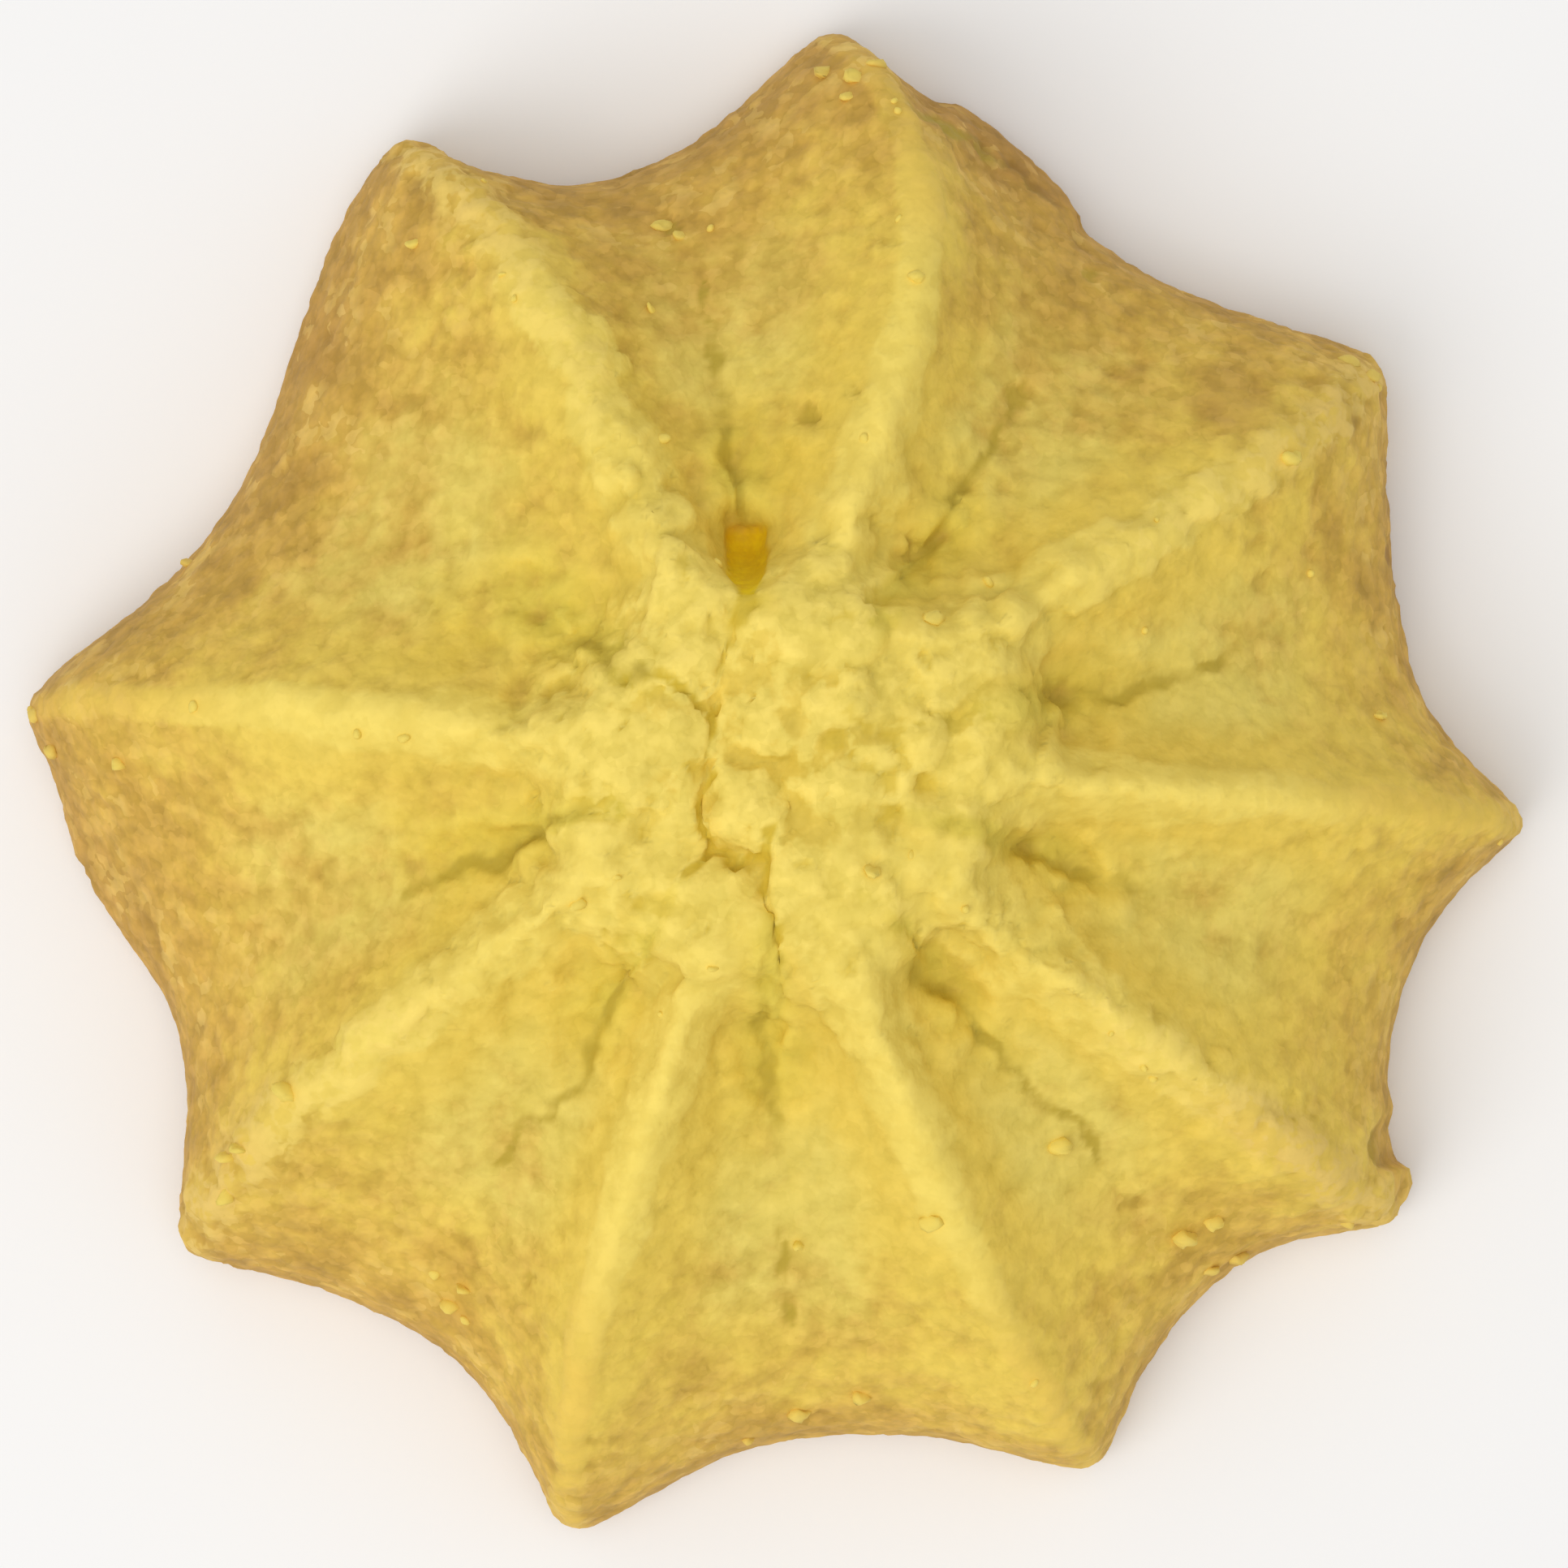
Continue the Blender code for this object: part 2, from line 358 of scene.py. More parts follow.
class Tree:
    """Adds nodes to a tree and links them.

    A value given to an input is either another node's socket or a constant.
    """

    def __init__(self, tree):
        self.tree = tree

    def add(self, kind, feeds=None, **settings):
        """A new node of that kind, with its settings made and its inputs fed."""
        node = self.tree.nodes.new(kind)
        for name, value in settings.items():
            setattr(node, name, value)
        for name, value in (feeds or {}).items():
            self.feed(value, node.inputs[name])
        row, place = divmod(len(self.tree.nodes), NODES_IN_A_ROW)
        node.location = (NODE_WIDTH * place, -NODE_HEIGHT * row)
        return node

    def feed(self, value, socket):
        if isinstance(value, bpy.types.NodeSocket):
            self.tree.links.new(value, socket)
        else:
            socket.default_value = value

    def math(self, operation, first, second=0.0, third=0.0):
        feeds = {0: first, 1: second, 2: third}
        return self.add("ShaderNodeMath", feeds, operation=operation).outputs[0]

    def product(self, *factors):
        result = factors[0]
        for factor in factors[1:]:
            result = self.math("MULTIPLY", result, factor)
        return result

    def sum(self, *terms):
        result = terms[0]
        for term in terms[1:]:
            result = self.math("ADD", result, term)
        return result

    def vector(self, operation, first, second):
        return self.add("ShaderNodeVectorMath", {0: first, 1: second}, operation=operation)

    def scaled(self, vector, factor):
        return self.add("ShaderNodeVectorMath", {0: vector, "Scale": factor}, operation="SCALE").outputs[0]

    def remap(self, value, low, high, to_low=0.0, to_high=1.0):
        """A value moved smoothly from the range low to high onto another, and held at its ends."""
        feeds = {"Value": value, "From Min": low, "From Max": high, "To Min": to_low, "To Max": to_high}
        return self.add("ShaderNodeMapRange", feeds, interpolation_type="SMOOTHSTEP").outputs["Result"]

    def fall_off(self, distance, width):
        """1 at no distance, falling as a bell curve of that width."""
        share = self.math("DIVIDE", distance, width)
        return self.math("EXPONENT", self.product(share, share, -1.0))

    def noise(self, point, size, detail=2.0, roughness=0.5):
        """Noise from 0 to 1 with patches of that size."""
        feeds = {
            "Vector": point,
            "Scale": self.math("DIVIDE", 1.0, size),
            "Detail": detail,
            "Roughness": roughness,
        }
        return self.add("ShaderNodeTexNoise", feeds).outputs[0]

    def ripple(self, point, size, detail=2.0, roughness=0.5):
        """Noise from -0.5 to 0.5 with patches of that size."""
        return self.math("SUBTRACT", self.noise(point, size, detail, roughness), 0.5)

    def stirred(self, point, rate):
        """The point pushed about by noise, so that cells round it lose their straight sides."""
        feeds = {"Vector": point, "Scale": rate, "Detail": 1.0}
        stir = self.add("ShaderNodeTexNoise", feeds).outputs["Color"]
        stir = self.scaled(self.vector("SUBTRACT", stir, (0.5, 0.5, 0.5)).outputs[0], 0.5)
        return self.vector("ADD", point, stir).outputs[0]

    def cells(self, point, size, smoothness=0.0):
        """Distance from the nearest cell's middle, in cells of that size, and the cell's tone."""
        feeds = {"Vector": point, "Scale": self.math("DIVIDE", 1.0, size)}
        if smoothness:
            node = self.add("ShaderNodeTexVoronoi", feeds, feature="SMOOTH_F1")
            node.inputs["Smoothness"].default_value = smoothness
        else:
            node = self.add("ShaderNodeTexVoronoi", feeds, feature="F1")
        tone = self.add("ShaderNodeSeparateXYZ", {0: node.outputs["Color"]}).outputs[0]
        return node.outputs["Distance"], tone

    def mix_colour(self, share, first, second, blend="MIX"):
        """The first colour, with that share of the second blended in."""
        node = self.add("ShaderNodeMix", {0: share}, data_type="RGBA", blend_type=blend)
        self.feed(first, node.inputs[6])
        self.feed(second, node.inputs[7])
        return node.outputs[2]

    def random(self, low, high, seed, kind="FLOAT"):
        """A random value for each element."""
        node = self.add("FunctionNodeRandomValue", data_type=kind)
        self.feed(low, live(node.inputs, "Min"))
        self.feed(high, live(node.inputs, "Max"))
        node.inputs["Seed"].default_value = seed
        return live(node.outputs)


def live(sockets, name="Value"):
    """The socket of that name which the node's data type puts to use."""
    return next(socket for socket in sockets if socket.enabled and socket.name == name)


def geometry_tree(name, inputs):
    """An empty Geometry Nodes group with a geometry in and out, and named inputs for its sizes."""
    group = bpy.data.node_groups.new(name, "GeometryNodeTree")
    group.interface.new_socket("Geometry", in_out="OUTPUT", socket_type="NodeSocketGeometry")
    group.interface.new_socket("Geometry", in_out="INPUT", socket_type="NodeSocketGeometry")
    for label, kind in inputs:
        group.interface.new_socket(label, in_out="INPUT", socket_type="NodeSocket" + kind)
    tree = Tree(group)
    feeds = tree.add("NodeGroupInput").outputs
    result = tree.add("NodeGroupOutput").inputs[0]
    return tree, feeds, result


def run_tree(carrier, tree, values):
    """Gives the carrier object, as a plain mesh, what the tree makes of its own mesh."""
    modifier = carrier.modifiers.new(tree.tree.name, "NODES")
    modifier.node_group = tree.tree
    for item in tree.tree.interface.items_tree:
        if item.in_out == "INPUT" and item.name in values:
            modifier[item.identifier] = values[item.name]
    settle(carrier)


def settle(piece):
    """Applies every modifier of a piece, and leaves it with a plain mesh."""
    bpy.context.view_layer.update()
    evaluated = piece.evaluated_get(bpy.context.evaluated_depsgraph_get())
    mesh = bpy.data.meshes.new_from_object(evaluated)
    mesh.name = piece.name
    piece.modifiers.clear()
    piece.data = mesh


def add_piece(name, mesh):
    """A new object with that mesh, in the scene."""
    piece = bpy.data.objects.new(name, mesh)
    bpy.context.scene.collection.objects.link(piece)
    return piece


def at_bearing(bearing, radius):
    """Point in plan, in metres, at a bearing in degrees and a radius in millimetres from the crown."""
    turn = math.radians(bearing)
    return Vector((
        CROWN_MIDDLE[0] + radius * MM * math.cos(turn),
        CROWN_MIDDLE[1] + radius * MM * math.sin(turn),
        0.0,
    ))


def bent_line(at_crown, at_rim, reach, start, end, steps):
    """Points along a ridge or a valley in plan, which hooks towards its end at the rim."""
    points = []
    for step in range(steps + 1):
        radius = start + (end - start) * step / steps
        share = min(1.0, radius / reach)
        points.append(at_bearing(at_crown + (at_rim - at_crown) * share**TIP_HOOK_POWER, radius))
    return points


def wander(points, amount, size, seed):
    """The same line with each point pushed a little aside, as a crack wanders through crumb."""
    moved = []
    for point in points:
        place = point / (size * MM) + Vector((0.0, 0.0, seed))
        elsewhere = place + Vector((7.0, 3.0, 0.0))
        push = Vector((noise.noise(place), noise.noise(elsewhere), 0.0))
        moved.append(point + push * amount * MM)
    return moved


def divided(route, spacing):
    """The route with points added, so that none are further apart than that."""
    points = [route[0]]
    for start, end in zip(route, route[1:]):
        steps = max(1, math.ceil((end - start).length / spacing))
        points += [start.lerp(end, step / steps) for step in range(1, steps + 1)]
    return points


def valley_guide():
    """A helper object of the valleys' middle lines."""
    lines = []
    for crown_bearing, rim_bearing in VALLEYS:
        line = bent_line(crown_bearing, rim_bearing, VALLEY_REACH, VALLEY_START, VALLEY_END, VALLEY_STEPS)
        lines.append(line)
    return line_guide("valley_lines", lines)


def line_guide(name, lines):
    """A helper object of edges that lie flat at z = 0, to measure in plan how far a point is from them."""
    mesh = bpy.data.meshes.new(name)
    points = []
    edges = []
    for line in lines:
        edges += [(len(points) + i, len(points) + i + 1) for i in range(len(line) - 1)]
        points += line
    mesh.from_pydata(points, edges, [])
    return add_piece(name, mesh)


def plan_route(route):
    """A route in millimetres from the crown's middle, as points in metres."""
    return [Vector((CROWN_MIDDLE[0] + x * MM, CROWN_MIDDLE[1] + y * MM, 0.0)) for x, y in route]


def ridge_guides():
    """Two helper objects: the crest lines of the sound ridges, and those of the ragged ones."""
    lines = {True: [], False: []}
    for crown_bearing, tip_bearing, reach, ragged in RIDGES:
        line = bent_line(crown_bearing, tip_bearing, reach, RIDGE_START, reach, RIDGE_STEPS)
        lines[ragged].append(wander(line, *CREST_WANDER, crown_bearing))
    return line_guide("sound_crests", lines[False]), line_guide("ragged_crests", lines[True])


def wandering_guide(name, routes, how):
    """A helper object of routes that wander as a crack or a crease does."""
    lines = [wander(divided(plan_route(route), GUIDE_SPACING), *how) for route in routes]
    return line_guide(name, lines)


def spot_guide(name, spots):
    """A helper object with one point in the middle of each spot, and the spot's radius and strength."""
    mesh = bpy.data.meshes.new(name)
    mesh.from_pydata(plan_route([spot[:2] for spot in spots]), [], [])
    mesh.attributes.new("radius", "FLOAT", "POINT").data.foreach_set("value", [spot[2] for spot in spots])
    mesh.attributes.new("strength", "FLOAT", "POINT").data.foreach_set("value", [spot[3] for spot in spots])
    return add_piece(name, mesh)


def hole_guide():
    """A helper object of one flat face, the hole's outline in plan."""
    mesh = bpy.data.meshes.new("hole_outline")
    mesh.from_pydata(plan_route(HOLE_OUTLINE), [], [tuple(range(len(HOLE_OUTLINE)))])
    return add_piece("hole_outline", mesh)


def plan_distance(tree, guide, flat_point, element="EDGES"):
    """Distance in plan, in millimetres, from a point to the lines or the face of a helper object."""
    shape = tree.add("GeometryNodeObjectInfo", {"Object": guide}).outputs["Geometry"]
    feeds = {0: shape, "Sample Position": flat_point}
    metres = tree.add("GeometryNodeProximity", feeds, target_element=element).outputs["Distance"]
    return tree.math("DIVIDE", metres, MM)


def named(tree, name):
    """The value of an attribute of the geometry that the nodes work on."""
    node = tree.add("GeometryNodeInputNamedAttribute", {"Name": name}, data_type="FLOAT")
    return live(node.outputs, "Attribute")


def stored(tree, geometry, name, value):
    """The geometry with a field kept on its points under that name."""
    feeds = {"Geometry": geometry, "Name": name}
    node = tree.add("GeometryNodeStoreNamedAttribute", feeds, data_type="FLOAT", domain="POINT")
    tree.feed(value, live(node.inputs))
    return node.outputs["Geometry"]


def sampled(tree, geometry, index, kind, value):
    """The value of a field at one point of another geometry."""
    feeds = {"Geometry": geometry, "Index": index}
    node = tree.add("GeometryNodeSampleIndex", feeds, data_type=kind, domain="POINT")
    tree.feed(value, live(node.inputs))
    return live(node.outputs)


def spot_strength(tree, guide, flat_point, wobble):
    """The strength of the nearest spot of a helper object, fading to 0 at the spot's edge."""
    spots = tree.add("GeometryNodeObjectInfo", {"Object": guide}).outputs["Geometry"]
    feeds = {"Geometry": spots, "Sample Position": flat_point}
    nearest = tree.add("GeometryNodeSampleNearest", feeds, domain="POINT").outputs[0]
    radius = sampled(tree, spots, nearest, "FLOAT", named(tree, "radius"))
    strength = sampled(tree, spots, nearest, "FLOAT", named(tree, "strength"))
    position = tree.add("GeometryNodeInputPosition").outputs[0]
    middle = sampled(tree, spots, nearest, "FLOAT_VECTOR", position)
    away = tree.math("DIVIDE", tree.vector("DISTANCE", flat_point, middle).outputs["Value"], MM)
    return tree.product(strength, tree.remap(tree.math("DIVIDE", tree.sum(away, wobble), radius), 1.2, 0.5))


def place_fields(tree, feeds):
    """The points that patterns are drawn at, and how each spot of the skin lies."""
    position = tree.add("GeometryNodeInputPosition").outputs[0]
    normal = tree.add("GeometryNodeInputNormal").outputs[0]
    point = tree.scaled(position, 1.0 / MM)
    shift = tree.add("ShaderNodeCombineXYZ", {"Z": feeds["Seed"]}).outputs[0]
    drawn = tree.vector("MULTIPLY", point, GRAIN_DRAW).outputs[0]
    grain_point = tree.vector("ADD", drawn, shift).outputs[0]
    flat = tree.vector("MULTIPLY", position, (1.0, 1.0, 0.0)).outputs[0]
    crown_place = tree.add("ShaderNodeCombineXYZ", {"X": CROWN_MIDDLE[0], "Y": CROWN_MIDDLE[1]}).outputs[0]
    from_crown = tree.vector("DISTANCE", flat, crown_place).outputs["Value"]

    # How far each spot stands proud of the skin round it
    blur = tree.add("GeometryNodeBlurAttribute", {"Iterations": PROUD_BLUR}, data_type="FLOAT_VECTOR")
    tree.feed(position, live(blur.inputs))
    off = tree.vector("SUBTRACT", position, live(blur.outputs)).outputs[0]
    proud = tree.vector("DOT_PRODUCT", off, normal).outputs["Value"]
    return SimpleNamespace(
        normal=normal,
        grain=grain_point,
        stirred=tree.stirred(grain_point, 2.2),
        flat=flat,
        height=tree.add("ShaderNodeSeparateXYZ", {0: point}).outputs["Z"],
        from_crown=tree.math("DIVIDE", from_crown, MM),
        proud=tree.math("DIVIDE", proud, MM),
    )


def crest_fields(tree, feeds, at):
    """Adds how near each spot is to the ridges' edges, and where those are frayed."""
    sound = plan_distance(tree, feeds["Sound crests"], at.flat)
    ragged = plan_distance(tree, feeds["Ragged crests"], at.flat)
    off_valley = plan_distance(tree, feeds["Valleys"], at.flat)
    at.off_crest = tree.math("MINIMUM", sound, ragged)
    at.across = tree.math("DIVIDE", at.off_crest, tree.sum(at.off_crest, off_valley, 0.01))
    at.crest_half = tree.product(feeds["Crest width"], tree.remap(at.from_crown, 6.0, 18.0, 1.15, 0.5))
    frayed = tree.product(tree.ripple(at.grain, 1.4, 1.0), 1.2)
    frayed = tree.sum(frayed, tree.product(tree.ripple(at.grain, 0.5, 1.0), 0.5))
    near_ragged = tree.remap(tree.math("SUBTRACT", ragged, sound), 0.5, -0.5)
    frayed = tree.product(frayed, tree.sum(0.45, tree.product(near_ragged, 0.65)))
    at.frayed = tree.sum(frayed, tree.product(near_ragged, -0.12))
    at.crest = tree.remap(tree.math("DIVIDE", tree.sum(at.off_crest, at.frayed), at.crest_half), 1.15, 0.8)
    at.ragged_crest = tree.fall_off(ragged, tree.product(feeds["Crest width"], 1.6))
    clumps = tree.remap(tree.math("ABSOLUTE", tree.sum(ragged, tree.product(at.frayed, 0.8))), 1.0, 0.3)
    at.clumps = tree.product(clumps, tree.remap(at.from_crown, 9.0, 12.0))


def crack_fields(tree, feeds, at):
    """Adds how near each spot is to a crease, to the hole and to a crack."""
    off_crease = plan_distance(tree, feeds["Creases"], at.flat)
    off_crease = tree.sum(off_crease, tree.product(tree.ripple(at.grain, 0.45, 2.0), 0.5))
    crease_half = tree.product(feeds["Crease width"], tree.remap(at.from_crown, 6.0, 13.0, 1.5, 0.75))
    crease_line = tree.fall_off(tree.math("MAXIMUM", off_crease, 0.0), crease_half)
    crease_breaks = tree.remap(tree.noise(at.grain, 0.9, 3.0), 0.4, 0.6, 0.42, 1.0)
    at.crease = tree.product(crease_line, crease_breaks)

    hole_edge = plan_distance(tree, feeds["Hole"], at.flat, "FACES")
    at.hole_edge = tree.sum(hole_edge, tree.product(tree.ripple(at.grain, 0.5, 1.0), 0.2))
    at.hole = tree.remap(at.hole_edge, 0.24, 0.0)

    off_crack = plan_distance(tree, feeds["Cracks"], at.flat)
    crack_edge = tree.sum(off_crack, tree.product(tree.ripple(at.grain, 0.3, 1.0), 0.3))
    crack_half = tree.product(feeds["Crack width"], tree.remap(at.hole_edge, 0.4, 2.2, 2.0, 1.0))
    crack_breaks = tree.remap(tree.noise(at.grain, 1.2, 1.0), 0.36, 0.56, 0.25, 1.0)
    crack_breaks = tree.math("MAXIMUM", crack_breaks, tree.remap(at.hole_edge, 1.6, 0.6))
    crack_line = tree.remap(tree.math("DIVIDE", crack_edge, crack_half), 1.9, 0.2)
    at.crack_line = tree.product(crack_line, crack_breaks)
    at.crack_fill = tree.fall_off(off_crack, feeds["Crack fill width"])


def crown_fields(tree, feeds, at):
    """Adds where the crown is, and where its dough is torn and hollow."""
    stray = tree.remap(tree.noise(at.grain, 2.5), 0.3, 0.7, 0.75, 1.3)
    share = tree.math("DIVIDE", at.from_crown, tree.product(feeds["Crown radius"], stray))
    at.crown = tree.remap(share, 1.15, 0.8)
    at.torn = tree.product(tree.remap(share, 1.9, 1.2), tree.remap(share, 0.7, 1.1, 0.6, 1.3))
    hollow = tree.remap(tree.noise(at.stirred, 0.9, 2.0), 0.4, 0.32)
    at.hollow = tree.product(hollow, tree.remap(share, 1.6, 0.9), tree.remap(share, 0.1, 0.4))


def spot_fields(tree, feeds, at):
    """Adds how deep the skin is dented and how brown it is baked."""
    jag = tree.product(tree.ripple(at.grain, 0.35, 1.0), 0.4)
    at.dent = spot_strength(tree, feeds["Dents"], at.flat, jag)
    at.baked = spot_strength(tree, feeds["Browned spots"], at.flat, tree.product(jag, 2.0))


def crumb_rise(tree, feeds, at):
    """How far each spot of the skin is pushed out, in millimetres."""
    # Rounded grains, with finer grit over them
    grain_far, grain_tone = tree.cells(at.stirred, feeds["Grain size"], 0.15)
    grain_step = tree.product(tree.math("SUBTRACT", grain_tone, 0.5), 0.5)
    grain = tree.sum(tree.product(grain_far, grain_far, -1.7), 0.45, grain_step)
    grain = tree.product(grain, tree.remap(tree.noise(at.grain, 2.0), 0.3, 0.7, 0.4, 1.5))
    fine_grain = tree.ripple(at.grain, tree.product(feeds["Grain size"], 0.6), 2.0, 0.6)
    rough_parts = tree.sum(1.0, tree.product(at.crest, -0.2), tree.product(at.crown, 0.4))
    grain_height = tree.product(feeds["Grain height"], rough_parts)

    # Broad unevenness, the crown's lumps, and blocks and nicks along the ragged edges
    uneven = tree.ripple(at.grain, 1.8, 4.0, 0.55)
    lump_far, lump_tone = tree.cells(at.stirred, feeds["Lump size"], 0.25)
    lump = tree.sum(tree.product(lump_far, lump_far, -1.4), 0.4, tree.math("SUBTRACT", lump_tone, 0.5))
    lumpy = tree.sum(at.torn, tree.product(at.ragged_crest, 0.4), tree.product(at.crest, 0.15))
    lump = tree.product(lump, feeds["Lump height"], tree.math("MINIMUM", lumpy, 1.3))
    off_hole = tree.remap(at.hole_edge, 0.1, 1.2)
    block = tree.ripple(at.stirred, 1.3, 2.0, 0.6)
    nick = tree.product(tree.remap(tree.noise(at.stirred, 1.6, 2.0), 0.52, 0.6), at.ragged_crest)
    return tree.sum(
        tree.product(grain, grain_height),
        tree.product(fine_grain, grain_height, 0.8),
        tree.product(uneven, feeds["Unevenness"]),
        tree.product(at.crest, feeds["Crest height"]),
        tree.product(lump, off_hole),
        tree.product(block, feeds["Block height"], at.ragged_crest),
        tree.product(at.dent, -1.0),
        tree.product(nick, feeds["Nick depth"], -1.0),
        tree.product(at.hollow, feeds["Hollow depth"], -1.0),
        tree.product(at.torn, tree.remap(at.across, 0.3, 0.8), off_hole, feeds["Valley fill"]),
        tree.product(at.crease, feeds["Crease depth"], -1.0),
        tree.product(at.crack_fill, feeds["Crack fill"]),
        tree.product(at.crack_line, feeds["Crack depth"], tree.remap(at.from_crown, 3.0, 4.5, -1.0, -0.45)),
        tree.product(at.hole, feeds["Hole depth"], -1.0),
    )


def finish_marks(tree, at):
    """What the finish has to know of each spot, by the names that it asks for."""
    # Dents on the slopes go with the creases, and the crown's hollows and dents with the cracks, all for
    # painted shade
    dented = tree.product(tree.remap(at.dent, 0.02, 0.16, 0.0, 0.6), tree.remap(at.height, 2.5, 4.5))
    dented_crown = tree.product(dented, tree.remap(at.crown, 0.2, 0.7))
    dented_slope = tree.product(dented, tree.remap(at.crown, 0.7, 0.2))
    crown_gap_shade = tree.math("MAXIMUM", tree.product(at.hollow, 0.5), dented_crown)
    shoulder_edge = tree.sum(at.off_crest, tree.product(at.frayed, 0.5))
    return {
        "crest": at.crest,
        # The band round each crest that is painted as highlight
        "shoulder": tree.fall_off(shoulder_edge, tree.product(at.crest_half, 1.9)),
        "across": at.across,
        "crease": tree.math("MAXIMUM", at.crease, dented_slope),
        "crack": tree.math("MAXIMUM", at.crack_line, crown_gap_shade),
        "crown": at.crown,
        "hole": at.hole,
        "baked": at.baked,
        "ragged": at.clumps,
    }


def crumb_relief_tree(guide_names):
    """Gives a smooth skin its crumb, lumps, creases, cracks and nicks, and marks them for the finish."""
    inputs = [(name, "Object") for name in guide_names]
    inputs += [(name, "Float") for name in RELIEF]
    inputs.append(("Dough", "Material"))
    tree, feeds, result = geometry_tree("crumb_relief", inputs)
    at = place_fields(tree, feeds)
    crest_fields(tree, feeds, at)
    crack_fields(tree, feeds, at)
    crown_fields(tree, feeds, at)
    spot_fields(tree, feeds, at)
    clear_of_base = tree.remap(at.height, 0.1, feeds["Foot height"])
    push = tree.scaled(at.normal, tree.product(crumb_rise(tree, feeds, at), clear_of_base, MM))

    geometry = feeds["Geometry"]
    for name, value in finish_marks(tree, at).items():
        geometry = stored(tree, geometry, name, value)
    geometry = tree.add("GeometryNodeSetPosition", {"Geometry": geometry, "Offset": push}).outputs[0]

    # Kept once the relief is in the skin, so that it tells how proud the relief stands
    geometry = stored(tree, geometry, "proud", at.proud)
    geometry = tree.add("GeometryNodeSetShadeSmooth", {"Geometry": geometry}).outputs[0]
    geometry = tree.add("GeometryNodeRealizeInstances", {"Geometry": geometry}).outputs[0]
    finish = {"Geometry": geometry, "Material": feeds["Dough"]}
    geometry = tree.add("GeometryNodeSetMaterial", finish).outputs[0]
    tree.tree.links.new(geometry, result)
    return tree


def smooth_skin(name, solid):
    """A fine, even and smooth skin over a copy of the solid's mesh."""
    source = bmesh.new()
    source.from_mesh(solid.data)
    bmesh.ops.remove_doubles(source, verts=source.verts, dist=0.001 * MM)
    bmesh.ops.join_triangles(
        source,
        faces=source.faces,
        angle_face_threshold=1.0,
        angle_shape_threshold=1.2,
    )
    mesh = bpy.data.meshes.new(name)
    source.to_mesh(mesh)
    source.free()
    skin = add_piece(name, mesh)
    rounding = skin.modifiers.new("rounding", "SUBSURF")
    rounding.levels = SKIN_ROUNDING
    rounding.render_levels = SKIN_ROUNDING
    even = skin.modifiers.new("even_faces", "REMESH")
    even.mode = "VOXEL"
    even.voxel_size = SKIN_VOXEL
    even.adaptivity = 0.0
    settle(skin)
    return skin


def flatten_base(skin):
    """Lays the underside flat at z = 0 and joins its faces into one."""
    mesh = bmesh.new()
    mesh.from_mesh(skin.data)
    underneath = [face for face in mesh.faces if max(corner.co.z for corner in face.verts) < BASE_LEVEL]
    bmesh.ops.dissolve_faces(mesh, faces=underneath, use_verts=True)
    for vertex in mesh.verts:
        if vertex.co.z < BASE_LEVEL:
            vertex.co.z = 0.0
    mesh.to_mesh(skin.data)
    mesh.free()


def new_material(name):
    """A material, its tree, and its Principled shader."""
    material = bpy.data.materials.new(name)
    material.use_nodes = True
    return material, Tree(material.node_tree), material.node_tree.nodes["Principled BSDF"]


def place_in_mm(tree):
    """The shaded spot's place in its own object, in millimetres."""
    place = tree.add("ShaderNodeTexCoord").outputs["Object"]
    return tree.add("ShaderNodeMapping", {"Vector": place, "Scale": (1 / MM, 1 / MM, 1 / MM)}).outputs[0]


def attribute(tree, name):
    """A mark that the relief tree kept on the body."""
    return tree.add("ShaderNodeAttribute", attribute_name=name).outputs["Fac"]


def dough_fields(tree):
    """Each shaded spot's marks from the relief, its place, and the patterns of the dough there."""
    at = SimpleNamespace(**{mark: attribute(tree, mark) for mark in MARKS})
    to_mm = place_in_mm(tree)
    out = tree.vector("SUBTRACT", to_mm, (CROWN_MIDDLE[0] / MM, CROWN_MIDDLE[1] / MM, 0.0)).outputs[0]
    out = tree.vector("MULTIPLY", out, (1.0, 1.0, 0.0)).outputs[0]
    outward = tree.vector("LENGTH", out, (0.0, 0.0, 0.0)).outputs["Value"]
    drawn = tree.vector("MULTIPLY", to_mm, GRAIN_DRAW).outputs[0]
    at.height = tree.add("ShaderNodeSeparateXYZ", {0: to_mm}).outputs["Z"]
    at.patches = tree.ripple(to_mm, 3.5, 2.0, 0.6)
    at.dapple = tree.ripple(to_mm, 1.7, 1.0)
    at.mottle = tree.ripple(to_mm, 0.8, 3.0, 0.7)
    at.outward = tree.sum(outward, tree.product(at.patches, 4.0))

    # Grains of crumb, paler than the gaps between them
    grain_far, at.grain_tone = tree.cells(tree.stirred(drawn, 2.6), 0.42)
    at.blob = tree.remap(tree.noise(drawn, 0.62, 2.0, 0.6), 0.4, 0.6, -0.5, 0.5)
    at.grain = tree.sum(
        tree.remap(grain_far, 0.75, 0.25, -0.25, 0.1),
        tree.product(tree.math("SUBTRACT", at.grain_tone, 0.5), 0.7),
        tree.product(at.blob, 0.6),
    )

    # Height above the tray, raised where less heat reaches, raised on proud spots and lowered in sunk ones
    # as painted light and shade, and lowered on the browner side
    lean = tree.vector("DOT_PRODUCT", to_mm, BROWNER_SIDE).outputs["Value"]
    low = tree.sum(
        at.height,
        tree.product(at.patches, 5.0),
        tree.product(at.dapple, 5.0),
        tree.product(at.mottle, 4.0),
        tree.product(at.crest, 1.5),
        # Sunk spots count as lower and so browner, as painted shade, and proud spots as painted light
        tree.product(at.proud, 14.0),
    )
    at.low = tree.math("SUBTRACT", low, lean)
    return at


